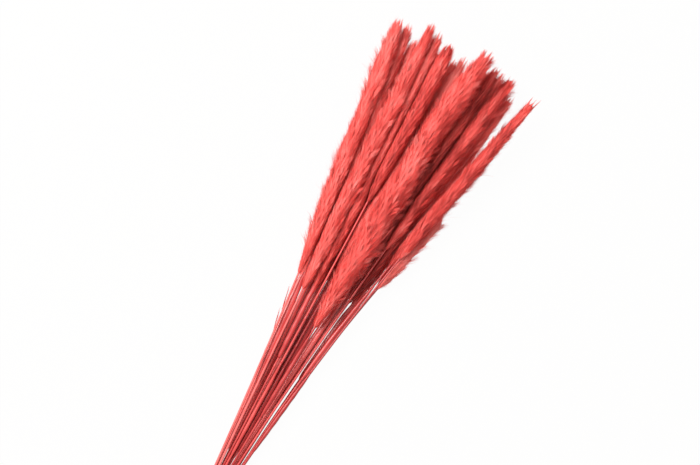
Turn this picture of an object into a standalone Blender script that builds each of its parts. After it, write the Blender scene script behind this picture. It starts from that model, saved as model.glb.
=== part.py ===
# A bunch of dried reed grass, dyed coral red all over, lying on a level surface as it does on a table.
# Each reed is one grown piece: a straight stem that runs on as the spine of a long soft plume.
# Metres, +Z up. +X runs along the bunch from the cut ends to the plume tips, and Z = 0 is the surface it lies on.

import math
from collections import namedtuple

import bmesh
import bpy
import numpy as np

MM = 0.001

# Stations are distances along the bunch from its cut ends
BUNCH_LENGTH = 661 * MM
WAIST = 64 * MM  # where the stems come together; below it they lie side by side
LEAN_STATION = 236 * MM  # where each reed's lean is measured
WAIST_EASE = 0.04  # share of the way to the tips over which a stem bends away from the waist
BEND_STATIONS = [76 * MM, 92 * MM]  # rings that carry the stem's bend above the waist
CUT_SPREAD = 5 * MM  # the cut ends differ by this much in length

# The stems at the waist, packed like pencils in four rows
STEM_RADIUS = 1.45 * MM
STEM_PITCH = 3.2 * MM
STEM_SIDES = 6
WAIST_MIDDLE = 0.3 * MM
COLUMNS = 6

# Heights of the four rows of plume tips over the surface, lowest first, which a reed's lift is added to. The bunch
# is a low mound: in the upper rows the outer reeds lie lower than the middle ones.
TIP_HEIGHTS = [8 * MM, 25 * MM, 42 * MM, 60 * MM]
MOUND_DROP = 7 * MM

# The slim solid spine of each plume, as shares of the plume's radius and length
SPINE_SHARE = 0.36
SPINE_SWELL = 0.16
SPINE_TAPER = 0.70
SPINE_END = 0.96
SPINE_RINGS = [0, 0.06, 0.16, 0.35, 0.55, 0.75, 0.88, SPINE_END]
SPINE_TIP_RADIUS = 0.45 * MM
STEM_FOOT_RADIUS = 1.15 * MM

# The plume's outline, as shares of its length and radius
FOOT_SWELL = 0.34
FOOT_SHARE = 0.16
TIP_TAPER = 0.76
TIP_SHARE = 0.24

# Tufts of silky spikelets that stand out of the spine, larger than life. Each has a three-sided ring between its
# root and its tip, and sweeps up along the plume.
TUFT_STEP = 8.8 * MM
TUFT_LENGTH = 52 * MM
TUFT_LENGTH_RANGE = (0.9, 1.15)
TUFT_HALF_WIDTH = 3.3 * MM
TUFT_DEPTH = 2.4 * MM
TUFT_RING = 0.5  # share of the tuft's length
TUFT_RING_OUT = 0.80  # share of the plume's radius
TUFT_TIP_OUT_RANGE = (0.92, 1.08)
ROOT_OUT = 0.25  # share of the spine's radius
KEEL_LEAST = 0.3  # share of the ring's distance out
FIRST_TUFT_TIP = 26 * MM
FIRST_ROOT = 2 * MM
TURN = math.radians(137.5)
TURN_UNEVEN = math.radians(7)
MEASURED_FLUFF = 10 * MM  # the plume radius that the tuft sizes above belong to

# Plumes give way to each other: the space between two is shared out, with a gap
NEIGHBOUR_GAP = 0.35 * MM
LEAST_THICKNESS = 0.3 * MM
ASIDE = 1e-6  # below this a direction doesn't go towards a neighbour or the surface
TIP_NOD = 3.0 * MM  # the soft end of a plume bends up or down by up to this
NOD_START = 0.6

# One reed each: row and column at the waist, how far to the left it is at LEAN_STATION, the stations of its
# plume's foot and tip, how far to the left its tip is, how far its tip is above its row, and its plume's radius.
# Lengths in millimetres.
Reed = namedtuple("Reed", "name row column lean foot tip spread lift fluff")
REED_SIZES = [
    ("reed_01", 3, 5, 26.4, 352, 645, 83, 0, 10.5),
    ("reed_02", 3, 4, 20.0, 340, 656, 49, -1, 11.5),
    ("reed_03", 3, 3, 7.6, 456, 649, 22, -9, 10.0),
    ("reed_04", 3, 2, -2.5, 310, 661, -18, 2, 15.0),
    ("reed_05", 3, 1, -12.2, 420, 652, -54, -22, 10.0),
    ("reed_06", 3, 0, -20.9, 420, 641, -86.5, -13, 8.6),
    ("reed_07", 2, 5, 22.0, 372, 645, 71.5, 5, 9.0),
    ("reed_08", 2, 4, 12.2, 341, 653, 38, 8, 9.5),
    ("reed_09", 2, 3, 3.0, 372, 546, 8, -3, 9.5),
    ("reed_10", 2, 2, -8.0, 364, 653, -34, -6, 9.5),
    ("reed_11", 2, 1, -11.9, 384, 650, -43, -14.5, 8.6),
    ("reed_12", 2, 0, -17.8, 408, 574, -74.5, -7, 8.5),
    ("reed_13", 1, 5, 18.2, 384, 636, 58, 9, 9.0),
    ("reed_14", 1, 4, 9.5, 345, 640, 32, 4, 9.0),
    ("reed_15", 1, 3, 1.6, 388, 645, 2, 4, 9.0),
    ("reed_16", 1, 2, -6.5, 363, 648, -26, -1, 9.5),
    ("reed_17", 1, 1, -11.6, 350, 636, -63.5, -3, 10.0),
    ("reed_18", 1, 0, -19.9, 380, 486, -62.5, -1, 9.3),
    ("reed_19", 0, 5, 24.5, 346, 594, 65, 0, 9.0),
    ("reed_20", 0, 4, 15.8, 334, 635, 45, 0, 9.0),
    ("reed_21", 0, 3, 5.0, 346, 642, 11, 0, 9.0),
    ("reed_22", 0, 2, -6.8, 335, 637, -18, 0, 9.5),
    ("reed_23", 0, 1, -11.0, 350, 645, -44, 0, 9.0),
    ("reed_24", 0, 0, -16.8, 352, 590, -61, 0, 8.0),
]
REEDS = [Reed(name, row, column, *(size * MM for size in sizes)) for name, row, column, *sizes in REED_SIZES]

# Plumes whose soft end bends aside, and how far to the left, and plumes that narrow early, and from which share
# of their length
SWAYS = {"reed_04": -8 * MM}
EARLY_TAPERS = {"reed_02": 0.6, "reed_06": 0.5}

# Short sprays low on the stem of the leftmost reed: root station, length and how far out they reach
LOW_SPRAYS = {"reed_01": [(284 * MM, 28 * MM, 5.2 * MM), (308 * MM, 30 * MM, 5.2 * MM)]}

# Dry leaves that still wrap some of the stems: stations of both ends and half of the width
LEAVES = {
    "reed_03": (139 * MM, 262 * MM, 2.3 * MM),
    "reed_04": (196 * MM, 302 * MM, 2.6 * MM),
    "reed_06": (158 * MM, 268 * MM, 2.5 * MM),
    "reed_07": (226 * MM, 370 * MM, 3.8 * MM),
    "reed_08": (262 * MM, 374 * MM, 3.6 * MM),
    "reed_09": (142 * MM, 258 * MM, 3.0 * MM),
    "reed_10": (236 * MM, 376 * MM, 3.2 * MM),
    "reed_12": (254 * MM, 386 * MM, 3.0 * MM),
    "reed_13": (216 * MM, 384 * MM, 3.6 * MM),
    "reed_14": (208 * MM, 384 * MM, 4.0 * MM),
    "reed_15": (150 * MM, 384 * MM, 4.2 * MM),
    "reed_19": (250 * MM, 356 * MM, 3.6 * MM),
    "reed_20": (146 * MM, 364 * MM, 4.0 * MM),
    "reed_21": (190 * MM, 372 * MM, 4.2 * MM),
    "reed_22": (172 * MM, 332 * MM, 4.2 * MM),
    "reed_23": (190 * MM, 366 * MM, 3.8 * MM),
    "reed_24": (252 * MM, 384 * MM, 4.4 * MM),
}
LEAF_RIDGE = 2.0 * MM
LEAF_EDGE = 0.2 * MM
LEAF_ENDS = (0.6 * MM, 1.2 * MM)
LEAF_RINGS = [(0.16, 0.8), (0.5, 1.0), (0.82, 0.8)]  # share of the leaf's length, share of its width

CORAL = (0.80, 0.085, 0.070, 1.0)
DRY_ROUGHNESS = 0.75


def draws(reed, purpose):
    """The reed's own random numbers for one purpose, the same in every run."""
    return np.random.default_rng([REEDS.index(reed), *purpose.encode()])


def chance(reed, purpose):
    """One random number of the reed's own, from -1 to 1."""
    return 2 * draws(reed, purpose).random() - 1


def rise(station):
    """Share of the way from the waist to the longest tips, easing in so that no stem has a kink."""
    share = np.clip((station - WAIST) / (BUNCH_LENGTH - WAIST), 0, None)
    return np.where(share < WAIST_EASE, share**2 / (2 * WAIST_EASE), share - WAIST_EASE / 2)


def along_plume(reed, station):
    """0 at the plume's foot and 1 at its tip."""
    return (station - reed.foot) / (reed.tip - reed.foot)


def waist_place(reed):
    """Where the reed is in the pack at the waist, whose rows are offset from each other by half a pitch."""
    shift = STEM_PITCH / 4 * (1 if reed.row % 2 else -1)
    left = WAIST_MIDDLE + (reed.column - (COLUMNS - 1) / 2) * STEM_PITCH + shift
    height = STEM_RADIUS * math.cos(math.pi / STEM_SIDES) + reed.row * STEM_PITCH * math.sqrt(3) / 2
    return left, height


def tip_height(reed):
    """How high the reed's tip lies over the surface."""
    upper = reed.row / (len(TIP_HEIGHTS) - 1)
    outer = abs(2 * reed.column / (COLUMNS - 1) - 1)
    return TIP_HEIGHTS[reed.row] - MOUND_DROP * upper * outer**2 + reed.lift


def centre(reed, station):
    """The reed's centreline: Y and Z at a station. Sideways it is a parabola from the waist through the lean, in
    height a straight rise, and the soft end of the plume nods up or down and may sway aside."""
    left, height = waist_place(reed)
    here, lean, tip = rise(station), rise(LEAN_STATION), rise(reed.tip)
    sway = SWAYS.get(reed.name, 0)
    lean_slope, tip_slope = (reed.lean - left) / lean, (reed.spread - sway - left) / tip
    bend = (tip_slope - lean_slope) / (tip - lean)
    nod = TIP_NOD * chance(reed, "nod")
    soft = np.clip((along_plume(reed, station) - NOD_START) / (1 - NOD_START), 0, None)
    y = left + (lean_slope - bend * lean) * here + bend * here**2 + sway * soft**2
    z = height + (tip_height(reed) - height) * here + nod * soft**2
    return y, z


def smooth(share):
    """0 below 0, 1 above 1, and an even curve between."""
    share = np.clip(share, 0, 1)
    return share * share * (3 - 2 * share)


def plume_radius(reed, station):
    """The radius that the plume has where nothing presses it."""
    share = along_plume(reed, station)
    swell = 1 - (1 - FOOT_SHARE) * (1 - np.clip(share / FOOT_SWELL, 0, 1)) ** 2
    start = EARLY_TAPERS.get(reed.name, TIP_TAPER)
    taper = 1 - (1 - TIP_SHARE) * np.clip((share - start) / (1 - start), 0, 1.1) ** 2
    inside = (share > 0) & (share < 1.15)
    return np.where(inside, reed.fluff * swell * taper, 0)


def hard_radius(reed, station):
    """The radius of the stem and, inside the plume, of its spine."""
    share = along_plume(reed, station)
    way_up = np.clip((station - WAIST) / (reed.foot - WAIST), 0, 1)
    stem = STEM_RADIUS + (STEM_FOOT_RADIUS - STEM_RADIUS) * way_up
    stem = stem + (SPINE_TIP_RADIUS - stem) * smooth(share)
    taper = 1 - smooth((share - SPINE_TAPER) / (SPINE_END - SPINE_TAPER))
    spine = SPINE_SHARE * reed.fluff * smooth(share / SPINE_SWELL) * taper
    return np.maximum(stem, spine)


def reach(reed, station, direction):
    """How far the reed's plume goes in a direction across the bunch before it meets a neighbour's share of the
    space between them, or the surface. That space is shared out as their plumes are thick."""
    y, z = centre(reed, station)
    hard = hard_radius(reed, station)
    thick = max(plume_radius(reed, station) - hard, LEAST_THICKNESS)
    room = z / -direction[1] if direction[1] < -ASIDE else math.inf
    for other in REEDS:
        if other is reed or station > other.tip + TUFT_LENGTH:
            continue
        other_y, other_z = centre(other, station)
        apart = math.hypot(other_y - y, other_z - z)
        towards = ((other_y - y) * direction[0] + (other_z - z) * direction[1]) / apart
        if towards <= ASIDE:
            continue
        other_hard = hard_radius(other, station)
        other_thick = max(plume_radius(other, station) - other_hard, LEAST_THICKNESS)
        share = (apart - hard - other_hard) * thick / (thick + other_thick)
        room = min(room, (hard + share - NEIGHBOUR_GAP) / towards)
    return room


def settled(reed, station, out_y, out_z):
    """A point of the plume, given by its offset from the centreline, drawn in to where its neighbours and the
    surface leave it room. In world coordinates."""
    far = math.hypot(out_y, out_z)
    direction = (out_y / far, out_z / far)
    far = min(far, reach(reed, station, direction))
    y, z = centre(reed, station)
    return (station - BUNCH_LENGTH / 2, y + far * direction[0], z + far * direction[1])


def make_stalk(reed):
    """The stem and the plume's spine: one round curve along the centreline, its radius given point by point."""
    cut = CUT_SPREAD * (1 + chance(reed, "cut")) / 2
    stem_stations = [cut, WAIST, *BEND_STATIONS, LEAN_STATION, (LEAN_STATION + reed.foot) / 2]
    stations = stem_stations + [reed.foot + share * (reed.tip - reed.foot) for share in SPINE_RINGS]
    curve = bpy.data.curves.new(reed.name + "_line", "CURVE")
    curve.dimensions = "3D"
    curve.twist_mode = "Z_UP"
    curve.bevel_depth = MM
    curve.bevel_resolution = 1
    curve.use_fill_caps = True
    spline = curve.splines.new("POLY")
    spline.points.add(len(stations) - 1)
    for point, station in zip(spline.points, stations):
        y, z = centre(reed, station)
        point.co = (station - BUNCH_LENGTH / 2, y, z, 1)
        point.radius = float(hard_radius(reed, station)) / MM
    line = bpy.data.objects.new(reed.name + "_line", curve)
    bpy.context.scene.collection.objects.link(line)
    bpy.context.view_layer.update()
    mesh = bpy.data.meshes.new_from_object(line.evaluated_get(bpy.context.evaluated_depsgraph_get()))
    stalk = bpy.data.objects.new(reed.name, mesh)
    stalk.matrix_world = line.matrix_world
    bpy.data.objects.remove(line)
    body = bmesh.new()
    body.from_mesh(mesh)
    bmesh.ops.remove_doubles(body, verts=body.verts, dist=0.01 * MM)
    bmesh.ops.recalc_face_normals(body, faces=body.faces)
    body.to_mesh(mesh)
    body.free()
    return stalk


def make_blade(name, root, rings, tip):
    """A slim closed blade from root to tip with three-sided rings between, made of a sphere of three meridians. A
    ring is its right, left and third corner."""
    body = bmesh.new()
    bmesh.ops.create_uvsphere(body, u_segments=3, v_segments=len(rings) + 1, radius=1)
    level = sorted(body.verts, key=lambda v: (round(v.co.z, 3), math.atan2(v.co.y, v.co.x)))
    for vertex, place in zip(level, [root, *(corner for ring in rings for corner in ring), tip]):
        vertex.co = place
    bmesh.ops.recalc_face_normals(body, faces=body.faces)
    mesh = bpy.data.meshes.new(name)
    body.to_mesh(mesh)
    body.free()
    return bpy.data.objects.new(name, mesh)


def make_tuft(name, reed, root_station, tip_station, angle, middle_out, tip_out):
    """A tuft that leaves the spine in the direction of angle, which is measured from +Y towards +Z, and is
    middle_out and tip_out from the centreline at its middle and tip."""
    size = reed.fluff / MEASURED_FLUFF
    out, side = (math.cos(angle), math.sin(angle)), (-math.sin(angle), math.cos(angle))
    middle = root_station + TUFT_RING * (tip_station - root_station)
    half = TUFT_HALF_WIDTH * size

    def corner(station, far, aside):
        return settled(reed, station, far * out[0] + aside * side[0], far * out[1] + aside * side[1])

    root = corner(root_station, ROOT_OUT * hard_radius(reed, root_station), 0)
    left, right = corner(middle, middle_out, half), corner(middle, middle_out, -half)
    y, z = centre(reed, middle)
    outer = math.hypot((left[1] + right[1]) / 2 - y, (left[2] + right[2]) / 2 - z)
    keel = corner(middle, max(outer - TUFT_DEPTH * size, KEEL_LEAST * outer), 0)
    return make_blade(name, root, [(right, left, keel)], corner(tip_station, tip_out, 0))


def make_leaf(reed):
    """The dry leaf along a stem's upper side: its ridge is over the stem and an edge stands out on either side."""
    start, end, half = LEAVES[reed.name]

    def corner(station, far, aside):
        return settled(reed, station, aside, far)

    rings = []
    for share, width in LEAF_RINGS:
        station = start + share * (end - start)
        edges = corner(station, LEAF_EDGE, half * width), corner(station, LEAF_EDGE, -half * width)
        rings.append((*edges, corner(station, LEAF_RIDGE, 0)))
    root, tip = corner(start, LEAF_ENDS[0], 0), corner(end, LEAF_ENDS[1], 0)
    return make_blade(reed.name + "_leaf", root, rings, tip)


def make_tufts(reed):
    """All tufts of one plume: tips at even steps up to the plume's tip, turned by the golden angle."""
    random = draws(reed, "tufts")
    length = reed.tip - reed.foot
    count = round(length / TUFT_STEP)
    angle = random.uniform(0, 2 * math.pi)
    tufts = []
    for number in range(count):
        angle += TURN + random.uniform(-TURN_UNEVEN, TURN_UNEVEN)
        tip = reed.foot + FIRST_TUFT_TIP + (length - FIRST_TUFT_TIP) * (number + 1) / count
        root = max(tip - TUFT_LENGTH * random.uniform(*TUFT_LENGTH_RANGE), reed.foot + FIRST_ROOT)
        middle_out = TUFT_RING_OUT * plume_radius(reed, root + TUFT_RING * (tip - root))
        tip_out = random.uniform(*TUFT_TIP_OUT_RANGE) * plume_radius(reed, tip)
        tufts.append(make_tuft(f"{reed.name}_tuft_{number}", reed, root, tip, angle, middle_out, tip_out))
    for root, spray_length, far in LOW_SPRAYS.get(reed.name, []):
        tufts.append(make_tuft(reed.name + "_spray", reed, root, root + spray_length, 0, far / 2, far))
    if reed.name in LEAVES:
        tufts.append(make_leaf(reed))
    return tufts


def joined(stalk, tufts):
    """The stalk with its tufts as one closed body."""
    collection = bpy.data.collections.new(stalk.name + "_tufts")
    bpy.context.scene.collection.children.link(collection)
    for tuft in tufts:
        collection.objects.link(tuft)
    union = stalk.modifiers.new("tufts", "BOOLEAN")
    union.operation = "UNION"
    union.operand_type = "COLLECTION"
    union.collection = collection
    union.solver = "EXACT"
    bpy.context.view_layer.update()
    mesh = bpy.data.meshes.new_from_object(stalk.evaluated_get(bpy.context.evaluated_depsgraph_get()))
    stalk.modifiers.clear()
    stalk.data = mesh
    for tuft in tufts:
        bpy.data.objects.remove(tuft)
    bpy.data.collections.remove(collection)


def dyed_grass():
    """Dry grass, dyed the same coral red on stem and plume."""
    material = bpy.data.materials.new("dyed_grass")
    material.use_nodes = True
    shader = material.node_tree.nodes["Principled BSDF"]
    shader.inputs["Base Color"].default_value = CORAL
    shader.inputs["Roughness"].default_value = DRY_ROUGHNESS
    shader.inputs["Metallic"].default_value = 0.0
    return material


def main():
    for leftover in list(bpy.data.objects):
        bpy.data.objects.remove(leftover)
    bunch = bpy.data.collections.new("reed_grass_bunch")
    bpy.context.scene.collection.children.link(bunch)
    material = dyed_grass()
    for reed in REEDS:
        stalk = make_stalk(reed)
        bunch.objects.link(stalk)
        joined(stalk, make_tufts(reed))
        stalk.data.materials.clear()
        stalk.data.materials.append(material)


main()
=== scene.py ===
# %% [markdown]
# A loose bunch of dried reed grass lies on a pale table. It has been dyed coral red all over. The
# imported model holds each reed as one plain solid: a stem that runs on as the spine of its plume,
# with larger-than-life tufts. This lesson puts the real surfaces in their place: satin stems with
# joints and dry leaves, and plumes of silky hair.

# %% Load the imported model
import math
from collections import namedtuple

import bpy
import numpy as np
from mathutils import Matrix, Vector


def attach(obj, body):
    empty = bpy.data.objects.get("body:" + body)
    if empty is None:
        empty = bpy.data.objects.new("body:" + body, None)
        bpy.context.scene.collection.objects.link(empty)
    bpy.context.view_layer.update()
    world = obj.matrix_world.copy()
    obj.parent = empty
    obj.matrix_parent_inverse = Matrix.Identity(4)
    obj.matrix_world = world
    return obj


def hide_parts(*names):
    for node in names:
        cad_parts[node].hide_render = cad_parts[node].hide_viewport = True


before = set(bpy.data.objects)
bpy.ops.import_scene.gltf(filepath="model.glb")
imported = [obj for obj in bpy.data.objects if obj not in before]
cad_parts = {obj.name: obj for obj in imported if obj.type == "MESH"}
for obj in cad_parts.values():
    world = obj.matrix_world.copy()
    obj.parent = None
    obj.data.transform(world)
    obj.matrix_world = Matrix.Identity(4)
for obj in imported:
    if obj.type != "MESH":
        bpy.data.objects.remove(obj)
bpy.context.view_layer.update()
print("reeds in the packed model:", len(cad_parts))

# %% [markdown]
# The fine pieces have to lie where the solids lie. Both are worked out from the same few driving
# sizes: the stems are packed side by side at a waist, and from there each one leans out in its own
# direction. A station is a distance along the bunch from its cut ends.

# %% The driving sizes of the bunch
MM = 0.001
BUNCH_LENGTH = 661 * MM
WAIST = 64 * MM
LEAN_STATION = 236 * MM  # where a stem's lean is given
WAIST_EASE = 0.04  # share of the way over which the lean sets in
CUT_SPREAD = 5 * MM  # how unevenly the stems are cut off
STEM_RADIUS = 1.45 * MM
STEM_FOOT_RADIUS = 1.15 * MM
STEM_PITCH = 3.2 * MM
STEM_SIDES = 6
WAIST_MIDDLE = 0.3 * MM
COLUMNS = 6
TIP_HEIGHTS = [8 * MM, 25 * MM, 42 * MM, 60 * MM]  # of the four rows, from the lowest up
MOUND_DROP = 7 * MM
TIP_NOD = 3.0 * MM  # the most that a soft end nods
NOD_START = 0.6
print("stems side by side at the waist, in mm:", round(COLUMNS * STEM_PITCH / MM, 1))

# %% [markdown]
# One line for each reed: its row and column at the waist, how far to the left it is at the lean
# station, where its plume starts and ends, how far to the left its tip is, how far the tip is above
# its row, and the plume's radius. A table of numbers is easier to set against a photograph than two
# dozen objects moved by hand.

# %% The reeds, in millimetres
Reed = namedtuple("Reed", "name row column lean foot tip spread lift fluff")
REED_SIZES = [
    ("reed_01", 3, 5, 26.4, 352, 645, 83, 0, 10.5),
    ("reed_02", 3, 4, 20.0, 340, 656, 49, -1, 11.5),
    ("reed_03", 3, 3, 7.6, 456, 649, 22, -9, 10.0),
    ("reed_04", 3, 2, -2.5, 310, 661, -18, 2, 15.0),
    ("reed_05", 3, 1, -12.2, 420, 652, -54, -22, 10.0),
    ("reed_06", 3, 0, -20.9, 420, 641, -86.5, -13, 8.6),
    ("reed_07", 2, 5, 22.0, 372, 645, 71.5, 5, 9.0),
    ("reed_08", 2, 4, 12.2, 341, 653, 38, 8, 9.5),
    ("reed_09", 2, 3, 3.0, 372, 546, 8, -3, 9.5),
    ("reed_10", 2, 2, -8.0, 364, 653, -34, -6, 9.5),
    ("reed_11", 2, 1, -11.9, 384, 650, -43, -14.5, 8.6),
    ("reed_12", 2, 0, -17.8, 408, 574, -74.5, -7, 8.5),
    ("reed_13", 1, 5, 18.2, 384, 636, 58, 9, 9.0),
    ("reed_14", 1, 4, 9.5, 345, 640, 32, 4, 9.0),
    ("reed_15", 1, 3, 1.6, 388, 645, 2, 4, 9.0),
    ("reed_16", 1, 2, -6.5, 363, 648, -26, -1, 9.5),
    ("reed_17", 1, 1, -11.6, 350, 636, -63.5, -3, 10.0),
    ("reed_18", 1, 0, -19.9, 380, 486, -62.5, -1, 9.3),
    ("reed_19", 0, 5, 24.5, 346, 594, 65, 0, 9.0),
    ("reed_20", 0, 4, 15.8, 334, 635, 45, 0, 9.0),
    ("reed_21", 0, 3, 5.0, 346, 642, 11, 0, 9.0),
    ("reed_22", 0, 2, -6.8, 335, 637, -18, 0, 9.5),
    ("reed_23", 0, 1, -11.0, 350, 645, -44, 0, 9.0),
    ("reed_24", 0, 0, -16.8, 352, 590, -61, 0, 8.0),
]
SWAYS = {"reed_04": -8 * MM}  # how far to the left a plume's soft end bends
EARLY_TAPERS = {"reed_02": 0.6, "reed_06": 0.5}  # share of its length where a slim plume narrows
REEDS = [
    Reed(name, row, column, *(size * MM for size in sizes))
    for name, row, column, *sizes in REED_SIZES
]
print("rows of reeds:", len(TIP_HEIGHTS), "with", COLUMNS, "reeds each")


# %% [markdown]
# A reed's centreline is a plain formula of the station. A curve object with a few handles could
# draw it too, but a formula can be asked anywhere, also by the neighbours that need to know how
# near it comes.

# %% The centreline of a reed
def draws(reed, purpose):
    """The reed's own random numbers for one purpose, the same in every run."""
    return np.random.default_rng([REEDS.index(reed), *purpose.encode()])


def chance(reed, purpose):
    """One random number of the reed's own, from -1 to 1."""
    return 2 * draws(reed, purpose).random() - 1


def rise(station):
    """Share of the way from the waist to the longest tips, eased in by a short parabola."""
    share = np.clip((station - WAIST) / (BUNCH_LENGTH - WAIST), 0, None)
    return np.where(share < WAIST_EASE, share**2 / (2 * WAIST_EASE), share - WAIST_EASE / 2)


def along_plume(reed, station):
    """0 at the plume's foot and 1 at its tip."""
    return (station - reed.foot) / (reed.tip - reed.foot)


def waist_place(reed):
    """Y and Z of the reed in the pack at the waist. Every other row is offset by half a pitch, and
    the rows lie half the root of three pitches apart."""
    shift = STEM_PITCH / 4 * (1 if reed.row % 2 else -1)
    left = WAIST_MIDDLE + (reed.column - (COLUMNS - 1) / 2) * STEM_PITCH + shift
    height = STEM_RADIUS * math.cos(math.pi / STEM_SIDES) + reed.row * STEM_PITCH * math.sqrt(3) / 2
    return left, height


def tip_height(reed):
    """Height of the row, less the mound's drop towards both sides, plus the reed's own lift."""
    upper = reed.row / (len(TIP_HEIGHTS) - 1)
    outer = abs(2 * reed.column / (COLUMNS - 1) - 1)
    return TIP_HEIGHTS[reed.row] - MOUND_DROP * upper * outer**2 + reed.lift


def centre(reed, station):
    """Y and Z of the centreline: sideways a parabola from the waist through the lean, in height a
    straight rise. The soft end nods up or down and may sway aside, both with the square of the way
    along it."""
    left, height = waist_place(reed)
    here, lean, tip = rise(station), rise(LEAN_STATION), rise(reed.tip)
    sway = SWAYS.get(reed.name, 0)
    lean_slope, tip_slope = (reed.lean - left) / lean, (reed.spread - sway - left) / tip
    bend = (tip_slope - lean_slope) / (tip - lean)
    nod = TIP_NOD * chance(reed, "nod")
    soft = np.clip((along_plume(reed, station) - NOD_START) / (1 - NOD_START), 0, None)
    y = left + (lean_slope - bend * lean) * here + bend * here**2 + sway * soft**2
    z = height + (tip_height(reed) - height) * here + nod * soft**2
    return y, z


longest = max(REEDS, key=lambda reed: reed.tip)
half_way = (longest.foot + longest.tip) / 2
print("longest plume:", longest.name, "with", round((longest.tip - longest.foot) / MM), "mm")


# %% [markdown]
# A plume has a hard spine and a soft outline. Where plumes lie against each other, each keeps its
# share of the space between their spines, and the lowest ones are pressed flat by the table.

# %% The thickness of spine and plume
SPINE_SHARE = 0.36
SPINE_SWELL = 0.16
SPINE_TAPER = 0.70
SPINE_END = 0.96
SPINE_TIP_RADIUS = 0.45 * MM
FURTHEST_SHARE = 1.15  # up to which share of its length a plume takes room, a little past its tip
FOOT_SWELL = 0.34
FOOT_SHARE = 0.16
TIP_TAPER = 0.76
TIP_SHARE = 0.24


def smooth(share):
    """0 below 0, 1 above 1, and the cubic 3x2 - 2x3 between."""
    share = np.clip(share, 0, 1)
    return share * share * (3 - 2 * share)


def plume_radius(reed, station):
    """The unpressed radius: a parabola up from the foot, level, and a parabola down to the tip."""
    share = along_plume(reed, station)
    swell = 1 - (1 - FOOT_SHARE) * (1 - np.clip(share / FOOT_SWELL, 0, 1)) ** 2
    start = EARLY_TAPERS.get(reed.name, TIP_TAPER)
    taper = 1 - (1 - TIP_SHARE) * np.clip((share - start) / (1 - start), 0, 1) ** 2
    return np.where((share > 0) & (share < FURTHEST_SHARE), reed.fluff * swell * taper, 0)


def hard_radius(reed, station):
    """The larger of two radii: the stem's, which thins evenly up to the plume and smoothly along
    it, and the spine's, which swells and tapers smoothly."""
    share = along_plume(reed, station)
    way_up = np.clip((station - WAIST) / (reed.foot - WAIST), 0, 1)
    stem = STEM_RADIUS + (STEM_FOOT_RADIUS - STEM_RADIUS) * way_up
    stem = stem + (SPINE_TIP_RADIUS - stem) * smooth(share)
    taper = 1 - smooth((share - SPINE_TAPER) / (SPINE_END - SPINE_TAPER))
    spine = SPINE_SHARE * reed.fluff * smooth(share / SPINE_SWELL) * taper
    return np.maximum(stem, spine)


spine = 2 * hard_radius(longest, half_way) / MM
print("thickness of the spine half way along, in mm:", round(spine, 1))


# %% [markdown]
# Plumes must not run through each other. Moving single points out of a neighbour would leave dents
# and folds, so a smooth formula works out the room in every direction and presses all points of a
# plume at once.

# %% The room that neighbours leave
NEIGHBOUR_GAP = 0.35 * MM
LEAST_THICKNESS = 0.3 * MM
TINY = 1e-6  # what is smaller counts as nothing, and nothing is divided by less
PRESSED = 5  # how suddenly a plume stops at a neighbour


def room(reed, station, dir_y, dir_z):
    """How far from its centreline a plume may go in each direction: to the table, or to the plane
    that shares out the space between its spine and a neighbour's as both plumes are thick."""
    y, z = centre(reed, station)
    hard = hard_radius(reed, station)
    thick = np.maximum(plume_radius(reed, station) - hard, LEAST_THICKNESS)
    far = np.where(dir_z < -TINY, z / np.maximum(-dir_z, TINY), np.inf)
    for other in REEDS:
        if other is reed:
            continue
        other_y, other_z = centre(other, station)
        apart = np.hypot(other_y - y, other_z - z)
        towards = ((other_y - y) * dir_y + (other_z - z) * dir_z) / apart
        other_hard = hard_radius(other, station)
        other_thick = np.maximum(plume_radius(other, station) - other_hard, LEAST_THICKNESS)
        share = (apart - hard - other_hard) * thick / (thick + other_thick)
        limit = (hard + share - NEIGHBOUR_GAP) / np.maximum(towards, TINY)
        far = np.minimum(far, np.where(towards > TINY, limit, np.inf))
    return far


def settled(reed, station, out_y, out_z):
    """Points of the plume, given by their offsets from the centreline. The distance d is pressed in
    by the room r to d / (1 + (d / r)^n)^(1 / n), which is d in the open and just short of r in a
    crowd."""
    far = np.maximum(np.hypot(out_y, out_z), TINY)
    space = room(reed, station, out_y / far, out_z / far)
    press = (1 + (far / space) ** PRESSED) ** (-1 / PRESSED)
    y, z = centre(reed, station)
    return np.stack([station - BUNCH_LENGTH / 2, y + out_y * press, z + out_z * press], axis=-1)


sides_y, sides_z = np.array([(1, 0), (-1, 0), (0, -1)]).T
clear = room(longest, half_way, sides_y, sides_z) / MM
print("room left, right and under", longest.name, "in mm:", clear.round(1))


# %% [markdown]
# The camera looks straight down through a long lens, because a bunch with no vase lies on a table.
# It is turned so that the stems leave the picture at its lower edge and the plumes fan out to the
# upper right.

# %% Camera
PHOTO_SIZE = (700, 465)
PIXEL = 1.073 * MM  # what one pixel of the picture covers, at plume height
PLUME_HEIGHT = 35 * MM
CAMERA_HEIGHT = 2.5
FARTHEST_SEEN = 100
SENSOR = 36.0
STEM_PIXEL = np.array([235.0, 465.0])  # where the bunch's axis leaves the picture
AXIS_PIXEL = np.array([0.502, -0.865])  # the axis's direction in the picture, whose Y runs down
STEM_PIXEL_STATION = 141 * MM
STEM_PIXEL_LEFT = -3.6 * MM


def picture_place(pixel):
    """X and Y on the table of a pixel: its distance along and left of the axis, times the size of a
    pixel."""
    offset = np.array(pixel) - STEM_PIXEL
    left = np.array([AXIS_PIXEL[1], -AXIS_PIXEL[0]])
    along = STEM_PIXEL_STATION - BUNCH_LENGTH / 2 + PIXEL * offset @ AXIS_PIXEL
    return along, STEM_PIXEL_LEFT + PIXEL * offset @ left


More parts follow.
